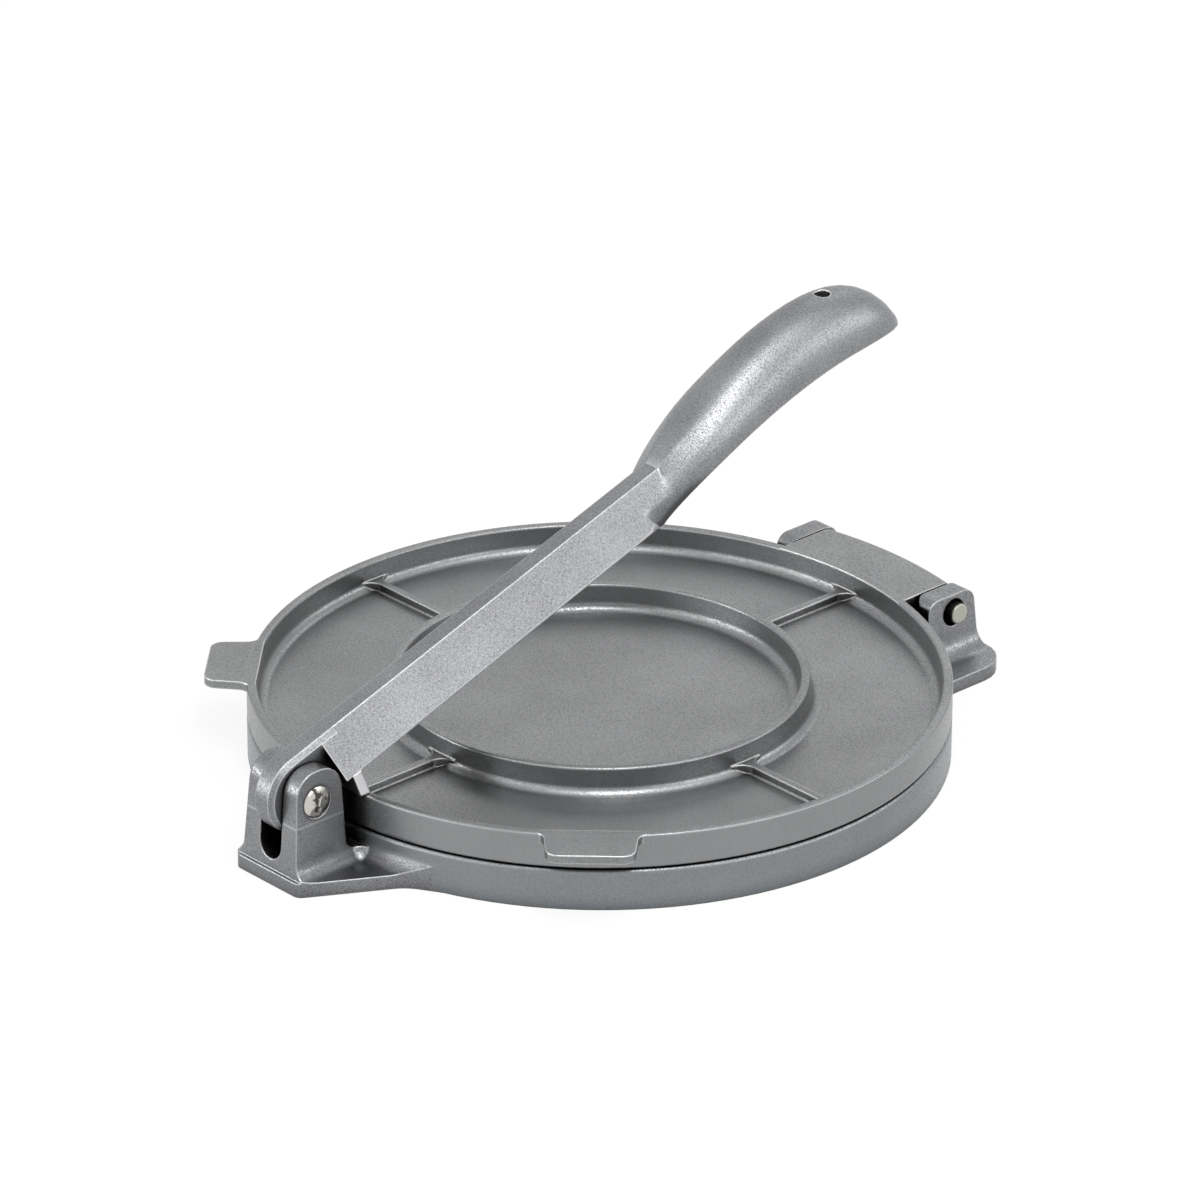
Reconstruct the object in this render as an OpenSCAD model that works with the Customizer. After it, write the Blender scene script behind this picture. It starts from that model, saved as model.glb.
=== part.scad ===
// Tortilla press of cast aluminium, closed, with its lever resting on the upper plate.
// Origin: centre of the round plates, on the table. +Z up, +Y to the hinge, -Y to the lever's clevis.

/* [Plates] */
// Outer radius of both round plates
plate_r = 103.3; // [90:0.1:110]
// Height of the lower plate's pressing face above the table
base_h = 12.7; // [11:0.1:15]
// Height of the upper plate, from its pressing face to its rim
top_h = 10.7; // [9:0.1:13]
// Thickness of the round webs that press the dough
web_t = 2.6; // [2:0.1:4]
// Gap between the two pressing faces when the press is closed
plate_gap = 0.3; // [0.2:0.05:0.5]
// Width of the rims at their tops
rim_w = 2.9; // [2:0.1:5]
// Outer radius of the stiffening ring
ring_r = 61.6; // [45:0.1:75]
// Width of the stiffening ring at its top
ring_w = 2.7; // [2:0.1:5]
// Fillet where a wall meets a web
floor_r = 3; // [1.5:0.1:3.5]
// Slope that lets rims and rings leave the mould, across their height
wall_draft = 0.5; // [0.2:0.1:1]
// Fillet between the round wall and what grows out of it
wall_fillet_r = 4.5; // [2:0.1:6]
// Rounding of the plates' two edges that face each other
seam_r = 1.3; // [0.5:0.1:2]
// Rounding of the other edges
edge_r = 0.7; // [0.3:0.1:1]
// Height of the straight ribs above the web
rib_h = 2.6; // [1.5:0.1:4]
// Width of the straight ribs
rib_w = 2.4; // [1.5:0.1:4]
// Flare where a rib runs into a ring or rim
rib_flare_r = 4.5; // [2:0.1:7]

/* [Finger tabs] */
// Angle of each finger tab from the clevis side
tab_angle = 46; // [30:1:60]
// Distance that a tab stands out of the plate
tab_out = 12; // [8:0.1:20]
// Width of a tab at its outer edge
tab_w = 25; // [20:0.5:34]
// Width that a tab loses towards its outer edge
tab_taper = 2; // [0:0.1:4]
// Radius of a tab's corners and of the flares at its root
tab_r = 4; // [2:0.1:6]
// Thickness of a tab
tab_t = 2.6; // [2:0.1:5]

/* [Hinge] */
// Distance of the hinge axis behind the plates' wall
hinge_out = 11.2; // [10.5:0.1:12.5]
// Height of the hinge axis above the table
hinge_z = 17.6; // [17:0.1:18.5]
// Diameter of the hinge pin
hinge_pin_d = 6.5; // [5:0.1:6.8]
// Play between the hinge pin and the loose holes in the lugs, all round
lug_play = 1.1; // [0.8:0.1:1.4]
// Width of the leaf behind the upper plate
leaf_w = 50.8; // [40:0.2:60]
// Distance of the leaf's rear edge behind the hinge axis
leaf_tail = 8; // [7:0.1:9]
// Thickness of the leaf's walls
leaf_t = 4.2; // [3:0.1:5]
// Side play between the leaf and the lugs
leaf_gap = 0.8; // [0.3:0.1:1]
// Thickness of a hinge lug
lug_t = 6.9; // [5:0.1:10]
// Distance that the lugs' front face stands inside the plates' wall
lug_set = 0.3; // [0:0.1:1]
// Height of the lugs above the table
lug_h = 23.7; // [23:0.1:26]
// Distance of the lugs' rear face behind the hinge axis
lug_tail = 9.8; // [8.5:0.1:11]
// Width of the flange under the lugs
flange_w = 92.8; // [88:0.1:104]
// Distance of the flange's rear edge behind the lugs' rear face
flange_tail = 0.9; // [0.5:0.1:5]
// Thickness of the flange
flange_t = 4.3; // [3:0.1:6]
// Radius of the flange's corners
flange_r = 11.5; // [5:0.5:12]

/* [Clevis] */
// Distance of the lever's pivot in front of the plates' wall
pivot_out = 14.9; // [14:0.1:17]
// Height of the lever's pivot above the table
pivot_z = 26.1; // [25.5:0.1:28]
// Width of the clevis at the height of its pivot
clevis_w = 20.8; // [19:0.1:24]
// Width of the clevis slot
slot_w = 9.2; // [8.8:0.1:10]
// Height of the slot's round bottom above the table
slot_floor = 7.4; // [6:0.1:9]
// Height of the ears above the pivot
ear_rise = 9.5; // [8.5:0.1:12]
// Radius of the ears' round tops
ear_r = 8; // [8:0.1:10]
// Thickness of the clevis foot
foot_t = 4.4; // [3:0.1:5]
// Width of the clevis foot at the front
foot_w = 26.6; // [26:0.1:34]
// Distance of the clevis foot's front edge from the pivot
foot_reach = 10.3; // [10:0.1:12]
// Fillet between the ears and the foot
foot_fillet_r = 5; // [3:0.1:6]
// Diameter of the rivet's shank
rivet_d = 8; // [6:0.1:8.4]
// Diameter of the rivet's domed heads
rivet_head_d = 9.4; // [9:0.1:11]

/* [Lever] */
// Angle of the resting lever above the table
arm_angle = 18.2; // [17:0.1:20]
// Length of the straight arm, from the pivot to the grip
arm_l = 149.5; // [120:0.5:170]
// Height of the arm's top strip above the pivot, square to the arm
arm_top = 12; // [11:0.1:13]
// Width of the arm's top strip
strip_w = 5.4; // [4:0.1:8]
// Width across the arm's lower edges
arm_w = 24; // [22:0.1:28]
// Depth of the arm at the pivot
arm_depth = 11.6; // [9:0.1:12]
// Depth of the arm at the grip
arm_end_depth = 10.1; // [8:0.1:12]
// Thickness of the lever's walls
wall_t = 2.8; // [2:0.1:3.4]
// Distance of the channel's front end from the pivot
channel_start = 11.2; // [11:0.1:12.5]
// Thickness of the nose between the ears
nose_w = 8.2; // [7:0.1:8.4]
// Thickness of the pressing foot under the arm
press_t = 3.1; // [2:0.1:4]
// Distance of the pressing foot from the channel's front end
press_in = 1.8; // [1:0.1:3]
// Gap between the resting pressing foot and the rim
rest_gap = 0.3; // [0.2:0.05:0.5]
// Width of the grip's upright root, behind the ends of the arm's flanks
root_w = 16.4; // [15:0.1:18]
// Length of the grip beyond the arm
grip_l = 97.5; // [80:0.5:125]
// Width of the grip
grip_w = 26; // [24:0.5:32]
// Drop of the grip's tip below the line of the arm's top
tip_drop = 13; // [8:0.5:20]
// Diameter of the hole for hanging the press up
hang_d = 5; // [3:0.1:7]
// Place of the hanging hole along the grip's curve
hang_share = 0.715; // [0.6:0.005:0.8]

/* [Hidden] */
$fn = 96;
// One overrun serves every cut, and one buried depth every joined piece
over = 1;
bury = 1.5;
// Radial clearance of a turning pin, and of the rivet's heads in their seats
pin_clear = 0.05;
head_clear = 0.15;
arc_steps = 6;
cast = [0.66, 0.67, 0.68];
cast_dark = [0.58, 0.59, 0.6];
steel = [0.82, 0.82, 0.84];

// Heights and places that follow from the sizes above
top_z = base_h + plate_gap;
rim_z = top_z + top_h;
hinge_y = plate_r + hinge_out;
leaf_r = hinge_y + leaf_tail;
lug_front = plate_r - lug_set;
lug_rear = hinge_y + lug_tail;
flange_rear = lug_rear + flange_tail;
pivot_y = plate_r + pivot_out;

// Lever outline beyond the arm: handles of its two curves as shares of the grip's length
top_handle_shares = [[0.03, 0.05], [0.924, 0.365]];
belly_handle_shares = [[0.166, 0.07], [0.802, 0.157]];
// Where the belly starts before the arm's end, and the share of the grip that the section's change takes
belly_lead = 7;
blend_share = 0.35;
// Share of the grip's curve where its plan starts to round off, and where the hollow ends
round_share = 0.75;
hollow_share = 0.93;
last_share = 0.997;
grip_rings = 26;
ring_points = 24;
// Angle of the arch that each flank of the arm takes
flank_angle = 60;
// Lean of the arm's front end, and how far the pressing foot flares over the arm's depth
front_lean = 0.5;
press_flare = 1.6;
// Where the flanks end on the grip's root: before the arm's end, and their lean and step there
skirt_back = 11.3;
skirt_lean = 3.9;
skirt_step = 0.6;
// Depth that the root reaches below the flanks, and the height shares at which flanks and root bend
root_drop = 3.6;
bend_share = 0.41;
root_bend_share = 0.565;

function unit(v) = v / norm(v);
function bezier(p, t) =
    pow(1 - t, 3) * p[0] + 3 * pow(1 - t, 2) * t * p[1] + 3 * (1 - t) * t * t * p[2] + pow(t, 3) * p[3];
function bezier_slope(p, t) =
    (1 - t) * (1 - t) * (p[1] - p[0]) + 2 * (1 - t) * t * (p[2] - p[1]) + t * t * (p[3] - p[2]);
function bezier_normal(p, t) = let (d = bezier_slope(p, t)) unit([-d.y, d.x]);
function smooth(t) = t * t * (3 - 2 * t);
function clamp01(t) = min(1, max(0, t));

// One corner of an outline: an arc of radius r that touches both of its sides
function corner(before, at, after, r) =
    let (
        a = unit(before - at),
        b = unit(after - at),
        half = acos(max(-1, min(1, a * b))) / 2,
        c = at + unit(a + b) * r / sin(half),
        from = at + a * r / tan(half) - c,
        to = at + b * r / tan(half) - c,
        start = atan2(from.y, from.x),
        turn = (atan2(to.y, to.x) - start + 540) % 360 - 180
    )
    [for (i = [0:arc_steps]) c + r * [cos(start + turn * i / arc_steps), sin(start + turn * i / arc_steps)]];

// An outline from corners given as [x, y, radius], with round corners both ways
function rounded(p) =
    let (n = len(p))
    [for (i = [0:n - 1])
        let (at = [p[i].x, p[i].y], before = p[(i + n - 1) % n], after = p[(i + 1) % n])
        each p[i].z == 0 ? [at] : corner([before.x, before.y], at, [after.x, after.y], p[i].z)];

function mirrored(p) = concat(p, [for (i = [len(p) - 1:-1:0]) [-p[i].x, p[i].y, p[i].z]]);

// Distance of the plates' round wall from the X axis, at x
function wall_at(x) = sqrt(plate_r * plate_r - x * x);

// A section drawn as [y, z], stretched to width w across the X axis
module across(w, outline) {
    rotate([90, 0, 90])
        linear_extrude(w, center = true)
            polygon(outline);
}

// A section drawn as [x, z], run from y0 to y1
module along(y0, y1, outline) {
    translate([0, y1, 0])
        rotate([90, 0, 0])
            linear_extrude(y1 - y0)
                polygon(outline);
}

// Half section of a dished plate: web at z 0, rim and ring standing h high
module dish(h, web, outer_edge_r) {
    rim_in = plate_r - rim_w;
    ring_in = ring_r - ring_w;
    rotate_extrude($fn = 180)
        polygon(rounded([
            [0, 0, 0],
            [plate_r, 0, seam_r],
            [plate_r, h, outer_edge_r],
            [rim_in, h, edge_r],
            [rim_in - wall_draft, web, floor_r],
            [ring_r + wall_draft, web, floor_r],
            [ring_r, h, edge_r],
            [ring_in, h, edge_r],
            [ring_in - wall_draft, web, floor_r],
            [0, web, 0]
        ]));
}

// Four straight ribs from the ring to the rim, flared at both ends
module ribs(web) {
    inner = ring_r + wall_draft;
    outer = plate_r - rim_w - wall_draft;
    half = rib_w / 2;
    flare = half + rib_flare_r;
    sides = [
        [inner - bury, flare, 0],
        [inner, flare, 0],
        [inner, half, rib_flare_r],
        [outer, half, rib_flare_r],
        [outer, flare, 0],
        [outer + bury, flare, 0]
    ];
    for (a = [0:90:270])
        rotate([0, 0, a])
            translate([0, 0, web - bury]) {
                linear_extrude(rib_h + bury)
                    polygon(rounded(concat(
                        sides,
                        [for (i = [len(sides) - 1:-1:0]) [sides[i].x, -sides[i].y, sides[i].z]]
                    )));
                rotate([90, 0, 90])
                    translate([0, 0, inner])
                        linear_extrude(outer - inner)
                            polygon(rounded([
                                [half + 2 * edge_r, 0, 0],
                                [half + 2 * edge_r, bury, 0],
                                [half, bury, edge_r],
                                [half, bury + rib_h / 2, 0],
                                [-half, bury + rib_h / 2, 0],
                                [-half, bury, edge_r],
                                [-half - 2 * edge_r, bury, 0],
                                [-half - 2 * edge_r, 0, 0]
                            ]));
            }
}

// Sizes of the hinge lugs that the leaf, the flange and the pin share
lug_in = leaf_w / 2 + leaf_gap;
lug_out = lug_in + lug_t;
lug_web_z = base_h - seam_r;
lug_inner_r = 4;
lug_front_r = 4;
lug_rear_r = 4.5;
lug_root_r = 6;
lug_rear_slope = 2.6;
// The pin rests against the rear of its loose holes, a little below their middle
lug_hole_lean = 17;
lug_hole_at = (lug_play - pin_clear) * [cos(lug_hole_lean), sin(lug_hole_lean)];

// Round outline of a foot that grows out of the plate's wall, with a fillet between the two
module wall_foot(t, fillet) {
    reach = flange_rear + foot_reach;
    intersection() {
        rotate_extrude($fn = 180)
            polygon(rounded([
                [plate_r - bury, 0, 0],
                [reach, 0, 0],
                [reach, t, 0],
                [plate_r, t, fillet],
                [plate_r, base_h - seam_r, 0],
                [plate_r - bury, base_h - seam_r, 0]
            ]));
        linear_extrude(base_h)
            children();
    }
}

module flange_plan() {
    half = flange_w / 2;
    polygon(rounded([
        [-half, 0, 0],
        [half, 0, 0],
        [half, flange_rear, flange_r],
        [-half, flange_rear, flange_r]
    ]));
}

module hinge_lugs() {
    side = rounded([
        [plate_r - lug_t, 0, 0],
        [plate_r - lug_t, lug_web_z, 0],
        [lug_front, lug_web_z, floor_r],
        [lug_front, lug_h, lug_front_r],
        [lug_rear - lug_rear_slope, lug_h, lug_rear_r],
        [lug_rear, 0, 0]
    ]);
    front = rounded([
        [lug_in, 0, 0],
        [lug_in, lug_h + over, 0],
        [lug_out - wall_draft, lug_h + over, 0],
        [lug_out, flange_t, lug_root_r],
        [lug_out + 2 * lug_root_r, flange_t, 0],
        [lug_out + 2 * lug_root_r, 0, 0]
    ]);
    for (s = [0, 1])
        mirror([s, 0, 0])
            difference() {
                intersection() {
                    across(flange_w, side);
                    along(0, lug_rear, front);
                    linear_extrude(lug_h + over)
                        flange_plan();
                }
                // The inner front corner is round above the web
                translate([0, 0, lug_web_z])
                    linear_extrude(lug_h)
                        polygon(concat(
                            [[lug_in - over, lug_front + lug_inner_r], [lug_in - over, lug_front - over]],
                            [[lug_in + lug_inner_r, lug_front - over]],
                            corner(
                                [lug_out, lug_front],
                                [lug_in, lug_front],
                                [lug_in, lug_rear],
                                lug_inner_r
                            )
                        ));
            }
}

module hinge_flange() {
    wall_foot(flange_t, wall_fillet_r)
        flange_plan();
}

// Sizes of the clevis that its foot, slot and rivet share
ear_top_z = pivot_z + ear_rise;
ear_back = 1;
ear_front_slope = 3.3;
ear_rear_slope = 0.9;
ear_side_slope = 1.6;
ledge_z = 7.9;
foot_front = pivot_y + foot_reach;
foot_corner_r = 3;
foot_wide = 29;
foot_wide_in = 2;
foot_bend_r = 14;
foot_end_x = 42;
foot_end_in = 0.9;
// The ball in the foot's corners is this much larger than the fillets, so that it crosses them cleanly
ball_over = 0.05;

module clevis_foot_plan() {
    polygon(rounded(mirrored([
        [foot_w / 2, -foot_front, foot_corner_r],
        [foot_wide, foot_wide_in - plate_r, foot_bend_r],
        [foot_end_x, foot_end_in - wall_at(foot_end_x), 0]
    ])));
}

module clevis() {
    ear_y = -pivot_y + ear_back;
    wide = clevis_w / 2;
    side = rounded([
        [-foot_front, 0, 0],
        [-foot_front, foot_t, 0],
        [ear_y - ear_r - ear_front_slope + ear_back, foot_t, 0],
        [ear_y - ear_r, ear_top_z, ear_r - edge_r],
        [ear_y + ear_r, ear_top_z, ear_r - edge_r],
        [ear_y + ear_r + ear_rear_slope, ledge_z, floor_r],
        [-plate_r + bury, ledge_z, 0],
        [-plate_r + bury, 0, 0]
    ]);
    ear_taper = ear_side_slope / (ear_top_z - foot_t);
    ear_foot_x = wide + ear_taper * (pivot_z - foot_t);
    front = rounded(mirrored([
        [foot_wide, 0, 0],
        [foot_wide, foot_t, 0],
        [ear_foot_x, foot_t, foot_fillet_r],
        [wide - ear_taper * (ear_top_z - pivot_z), ear_top_z, 0]
    ]));
    r = foot_fillet_r;
    ball_x = ear_foot_x + r / tan(45 + atan(ear_taper) / 2);
    ball_y = -sqrt(pow(plate_r + r, 2) - ball_x * ball_x);
    in_wall = (plate_r - bury) / (plate_r + r);
    intersection() {
        across(2 * foot_wide, side);
        along(-foot_front - over, -plate_r + 2 * bury, front);
        linear_extrude(ear_top_z + over)
            clevis_foot_plan();
    }
    wall_foot(foot_t, foot_fillet_r)
        clevis_foot_plan();
    // Where ear, foot and round wall meet, a ball rolled into the corner joins their fillets
    for (s = [0, 1])
        mirror([s, 0, 0])
            difference() {
                linear_extrude(ledge_z)
                    polygon([
                        [ball_x, ball_y],
                        [wide - bury, ball_y],
                        [wide - bury, ball_y * in_wall],
                        [ball_x * in_wall, ball_y * in_wall]
                    ]);
                translate([ball_x, ball_y, foot_t + r])
                    sphere(r = r + ball_over);
            }
}

head_seat = clevis_w / 2 - 0.4 * edge_r;

module clevis_cuts() {
    slot_z = slot_floor + slot_w / 2;
    slot_rear = -pivot_y + ear_back + ear_r + ear_rear_slope + edge_r;
    along(-foot_front - over, slot_rear, concat(
        [[-slot_w / 2, ear_top_z + over], [-slot_w / 2, slot_z]],
        [for (i = [1:2 * arc_steps - 1])
            [0, slot_z] - slot_w / 2 * [cos(90 * i / arc_steps), sin(90 * i / arc_steps)]],
        [[slot_w / 2, slot_z], [slot_w / 2, ear_top_z + over]]
    ));
    translate([0, -pivot_y, pivot_z])
        rotate([0, 90, 0]) {
            cylinder(h = clevis_w + 2 * over, d = rivet_d + 2 * pin_clear, center = true);
            for (s = [0, 1])
                mirror([0, 0, s])
                    translate([0, 0, head_seat])
                        cylinder(h = clevis_w, d = rivet_head_d + 2 * head_clear);
        }
}

module base() {
    color(cast)
        difference() {
            union() {
                // The lower plate lies upside down: pressing face up, ring and ribs below
                translate([0, 0, base_h])
                    mirror([0, 0, 1]) {
                        dish(base_h, web_t, edge_r / 2);
                        ribs(web_t);
                    }
                hinge_flange();
                hinge_lugs();
                clevis();
            }
            translate([0, hinge_y - lug_hole_at.x, hinge_z + lug_hole_at.y])
                rotate([0, 90, 0])
                    cylinder(h = flange_w, d = hinge_pin_d + 2 * lug_play, center = true);
            clevis_cuts();
        }
}

module finger_tab() {
    reach = plate_r + tab_out;
    half = tab_w / 2;
    root = half + 2 * tab_r;
    side = [
        [wall_at(root) - bury, root, 0],
        [wall_at(root) - edge_r, root, 0],
        [wall_at(half) - edge_r, half + tab_taper / 2, tab_r],
        [reach, half, tab_r]
    ];
    translate([0, 0, rim_z - tab_t])
        linear_extrude(tab_t)
            polygon(rounded(concat(
                side,
                [for (i = [len(side) - 1:-1:0]) [side[i].x, -side[i].y, side[i].z]]
            )));
}

// The hinge leaf: flush with the rim, its rear edge round about the plate's centre, hollow below
module hinge_leaf() {
    rear_r = 3.4;
    low_r = 3;
    skin = 1;
    start = plate_r - rim_w;
    front = plate_r + leaf_t / 2;
    shoulder = top_z + seam_r;
    // The leaf reaches lower behind the plate, with a skin below the pin's bore
    low = min(shoulder, hinge_z - hinge_pin_d / 2 - pin_clear) - skin;
    hollow = [
        [front, top_z - over],
        [front, rim_z - leaf_t],
        [leaf_r - leaf_t, rim_z - leaf_t],
        [leaf_r - leaf_t, top_z - over]
    ];
    difference() {
        intersection() {
            rotate_extrude($fn = 180)
                polygon(rounded([
                    [start, shoulder, 0],
                    [front - skin, shoulder, 0],
                    [front - skin, low, edge_r],
                    [leaf_r, low, low_r],
                    [leaf_r, rim_z, rear_r],
                    [start, rim_z, 0]
                ]));
            translate([-leaf_w / 2, 0, 0])
                cube([leaf_w, leaf_r + over, rim_z + over]);
        }
        // Two pockets from below leave walls at the sides, the middle and the rear
        for (s = [-1, 1])
            translate([s * leaf_w / 4, 0, 0])
                across(leaf_w / 2 - 1.5 * leaf_t, hollow);
    }
}

module top_plate() {
    color(cast)
        difference() {
            union() {
                translate([0, 0, top_z])
                    dish(top_h, web_t, edge_r);
                translate([0, 0, top_z])
                    ribs(web_t);
                for (s = [-1, 1])
                    rotate([0, 0, -90 + s * tab_angle])
                        finger_tab();
                hinge_leaf();
            }
            translate([0, hinge_y, hinge_z])
                rotate([0, 90, 0])
                    cylinder(h = leaf_w + 2 * over, d = hinge_pin_d + 2 * pin_clear, center = true);
        }
}

// Curves of the lever in its own frame: x along the arm from the pivot, y square to it
arm_low = arm_top - arm_depth;
arm_end = [arm_l, arm_top];
belly_start = [arm_l - belly_lead, arm_top - arm_end_depth];
tip = [arm_l + grip_l, arm_top - tip_drop];
top_curve = [
    arm_end,
    arm_end + grip_l * top_handle_shares[0],
    arm_end + grip_l * top_handle_shares[1],
    tip
];
belly_curve = [
    belly_start,
    belly_start + grip_l * belly_handle_shares[0],
    belly_start + grip_l * belly_handle_shares[1],
    tip
];

// Top of the hollow: a wall below the outer curve, square to the arm at first and then to the curve
function hollow_top(t) =
    let (k = smooth(clamp01(t / blend_share)))
    bezier(top_curve, t) - wall_t * unit((1 - k) * [0, 1] + k * bezier_normal(top_curve, t));

hang_at = bezier(top_curve, hang_share);
hang_axis = bezier_normal(top_curve, hang_share);

// Half width of the grip between its root and its tip, and the rounding of its plan at the tip
function swell(t) = smooth(clamp01(t / blend_share));
function grip_half(t) = root_w / 2 + (grip_w - root_w) / 2 * swell(t);
function tip_round(t) = t < round_share ? 1 : sqrt(1 - pow((t - round_share) / (1 - round_share), 2));
function belly(t) = bezier(belly_curve, t) - [0, root_drop * (1 - swell(t))];

// Point i across a section whose sides bend once: x as a share of the half width, y of the height
function flank_point(i, strip, bend) =
    let (
        a = 180 - 180 * i / ring_points,
        rise = 2 * min(a, 180 - a) / flank_angle,
        at = rise < 1 ? [1, 0] + rise * (bend - [1, 0]) : bend + (rise - 1) * ([strip, 1] - bend)
    )
    rise < 2
        ? [sign(90 - a) * at.x, at.y]
        : [strip * cos((a - flank_angle) * 180 / (180 - 2 * flank_angle)), 1];
function arch_point(i) = [cos(180 - 180 * i / ring_points), sin(180 - 180 * i / ring_points)];

function section(half, low, high, strip, bend, k) =
    [for (i = [0:ring_points])
        let (
            q = (1 - k) * flank_point(i, strip, bend) + k * arch_point(i),
            at = low + (high - low) * q.y
        )
        [half * q.x, at.x, at.y]];

// The arm keeps a straight flank, and the hollow in it too
function arm_section(half, low, high, strip) =
    section(half, low, high, strip, [1 + (strip - 1) * bend_share, bend_share], 0);
function grip_section(half, low, high, strip, k) = section(half, low, high, strip, [1, root_bend_share], k);

// Half width of the strip and of the hollow's own top, and what each is of the width there
strip_half = strip_w / 2;
inner_strip_half = strip_half - wall_t / 4;
arm_half = arm_w / 2;
root_half = root_w / 2;
outer_share = strip_half / root_half;
inner_share = inner_strip_half / (root_half - wall_t);
skirt = [arm_l - skirt_back, arm_l - skirt_back - skirt_lean];
skirt_low = arm_top - arm_end_depth;

outer_rings = concat(
    [
        arm_section(
            arm_half, [channel_start - front_lean, arm_low], [channel_start, arm_top], strip_half / arm_half
        ),
        arm_section(arm_half, [skirt[0], skirt_low], [skirt[1], arm_top], strip_half / arm_half),
        grip_section(
            root_half, [skirt[0] + skirt_step, skirt_low - root_drop], [skirt[1] + skirt_step, arm_top],
            outer_share, 0
        )
    ],
    [for (j = [0:grip_rings])
        let (t = last_share * j / grip_rings)
        grip_section(grip_half(t) * tip_round(t), belly(t), bezier(top_curve, t), outer_share, swell(t))]
);
inner_rings = concat(
    [
        arm_section(
            arm_half - wall_t, [channel_start - front_lean, arm_low], [channel_start, arm_top - wall_t],
            inner_strip_half / (arm_half - wall_t)
        ),
        arm_section(
            arm_half - wall_t, [skirt[0] - wall_t, skirt_low], [skirt[1] - wall_t, arm_top - wall_t],
            inner_strip_half / (arm_half - wall_t)
        ),
        grip_section(
            root_half - wall_t, [skirt[0] + skirt_step - wall_t, skirt_low - root_drop],
            [skirt[1] + skirt_step - wall_t, arm_top - wall_t], inner_share, 0
        )
    ],
    [for (j = [0:grip_rings])
        let (t = last_share * j / grip_rings, h = t * hollow_share)
        grip_section((grip_half(t) - wall_t) * tip_round(t), belly(h), hollow_top(h), inner_share, swell(t))]
);

// One closed skin from rings of an outer and an inner surface that are joined along their edges
module shell(outer, inner) {
    n = len(outer[0]);
    m = len(outer);
    loops = [for (j = [0:m - 1]) concat(outer[j], [for (i = [n - 1:-1:0]) inner[j][i]])];
    k = 2 * n;
    points = [for (ring = loops) each ring];
    sides = [for (j = [0:m - 2]) for (i = [0:k - 1])
        let (a = j * k + i, b = j * k + (i + 1) % k, c = a + k, d = b + k)
        each [[a, c, b], [b, c, d]]];
    start = [for (i = [0:n - 2]) each [[i, i + 1, k - 1 - i], [i + 1, k - 2 - i, k - 1 - i]]];
    last = (m - 1) * k;
    end = [for (f = start) [last + f[0], last + f[2], last + f[1]]];
    polyhedron(points, concat(sides, start, end));
}

// The nose turns between the ears; its edges are bevelled down to the width of the top strip
module nose() {
    bevel = (nose_w - strip_w) / 2;
    reach = channel_start + press_t + wall_t;
    rotate([0, 90, 0])
        rotate_extrude()
            polygon([
                [0, -nose_w / 2],
                [arm_top - bevel, -nose_w / 2],
                [arm_top, -strip_w / 2],
                [arm_top, strip_w / 2],
                [arm_top - bevel, nose_w / 2],
                [0, nose_w / 2]
            ]);
    along(0, reach, [
        [-nose_w / 2, -arm_top / 2],
        [nose_w / 2, -arm_top / 2],
        [nose_w / 2, arm_top - bevel],
        [strip_w / 2, arm_top],
        [-strip_w / 2, arm_top],
        [-nose_w / 2, arm_top - bevel]
    ]);
}

// The pressing foot: a cross wall under the arm, cut level just above the rim
module pressing_foot() {
    start = channel_start + press_in;
    difference() {
        along(start, start + press_t, [
            [-arm_half - press_flare, arm_low - arm_depth],
            [arm_half + press_flare, arm_low - arm_depth],
            [arm_half, arm_low],
            [strip_w / 2, arm_top - edge_r],
            [-strip_w / 2, arm_top - edge_r],
            [-arm_half, arm_low]
        ]);
        rotate([-arm_angle, 0, 0])
            translate([-arm_w, 0, rim_z + rest_gap - pivot_z - arm_l])
                cube([2 * arm_w, arm_l, arm_l]);
    }
}

module lever() {
    color(cast_dark)
        translate([0, -pivot_y, pivot_z])
            rotate([arm_angle, 0, 0])
                difference() {
                    union() {
                        shell(outer_rings, inner_rings);
                        nose();
                        pressing_foot();
                    }
                    rotate([0, 90, 0])
                        cylinder(h = nose_w + 2 * over, d = rivet_d + 2 * pin_clear, center = true);
                    translate([0, hang_at.x, hang_at.y])
                        rotate([atan2(hang_axis.y, hang_axis.x) - 90, 0, 0])
                            cylinder(h = 4 * wall_t, d = hang_d, center = true);
                }
}

module lever_pin() {
    dome = 1.4;
    round_r = (pow(rivet_head_d / 2, 2) + dome * dome) / (2 * dome);
    color(steel)
        translate([0, -pivot_y, pivot_z])
            rotate([0, 90, 0]) {
                cylinder(h = 2 * (head_seat + bury / 2), d = rivet_d, center = true);
                for (s = [0, 1])
                    mirror([0, 0, s])
                        translate([0, 0, head_seat + pin_clear])
                            intersection() {
                                cylinder(h = dome, d = rivet_head_d);
                                translate([0, 0, dome - round_r])
                                    sphere(r = round_r);
                            }
            }
}

module hinge_pin() {
    pin_end = 1.5;
    long = 2 * (lug_out + pin_end);
    color(steel)
        translate([0, hinge_y, hinge_z])
            rotate([0, 90, 0])
                rotate_extrude()
                    polygon(rounded([
                        [0, -long / 2, 0],
                        [hinge_pin_d / 2, -long / 2, edge_r],
                        [hinge_pin_d / 2, long / 2, edge_r],
                        [0, long / 2, 0]
                    ]));
}

base();
top_plate();
lever();
lever_pin();
hinge_pin();
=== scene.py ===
# %% [markdown]
# # A tortilla press of cast aluminium
#
# The press is two round plates, hinged at the back, and a long lever that turns in a clevis at the
# front. Its five parts come ready made from the construction file, so this lesson is mostly about
# finish: how sand-cast, tumbled aluminium looks, how a turned wall differs from it, and what light
# makes both read as metal. The frame holds the parts at their real size in metres, and nothing here
# moves them.

from math import cos, pi, radians, sin, sqrt

import bmesh
import bpy
from mathutils import Matrix, Vector


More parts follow.
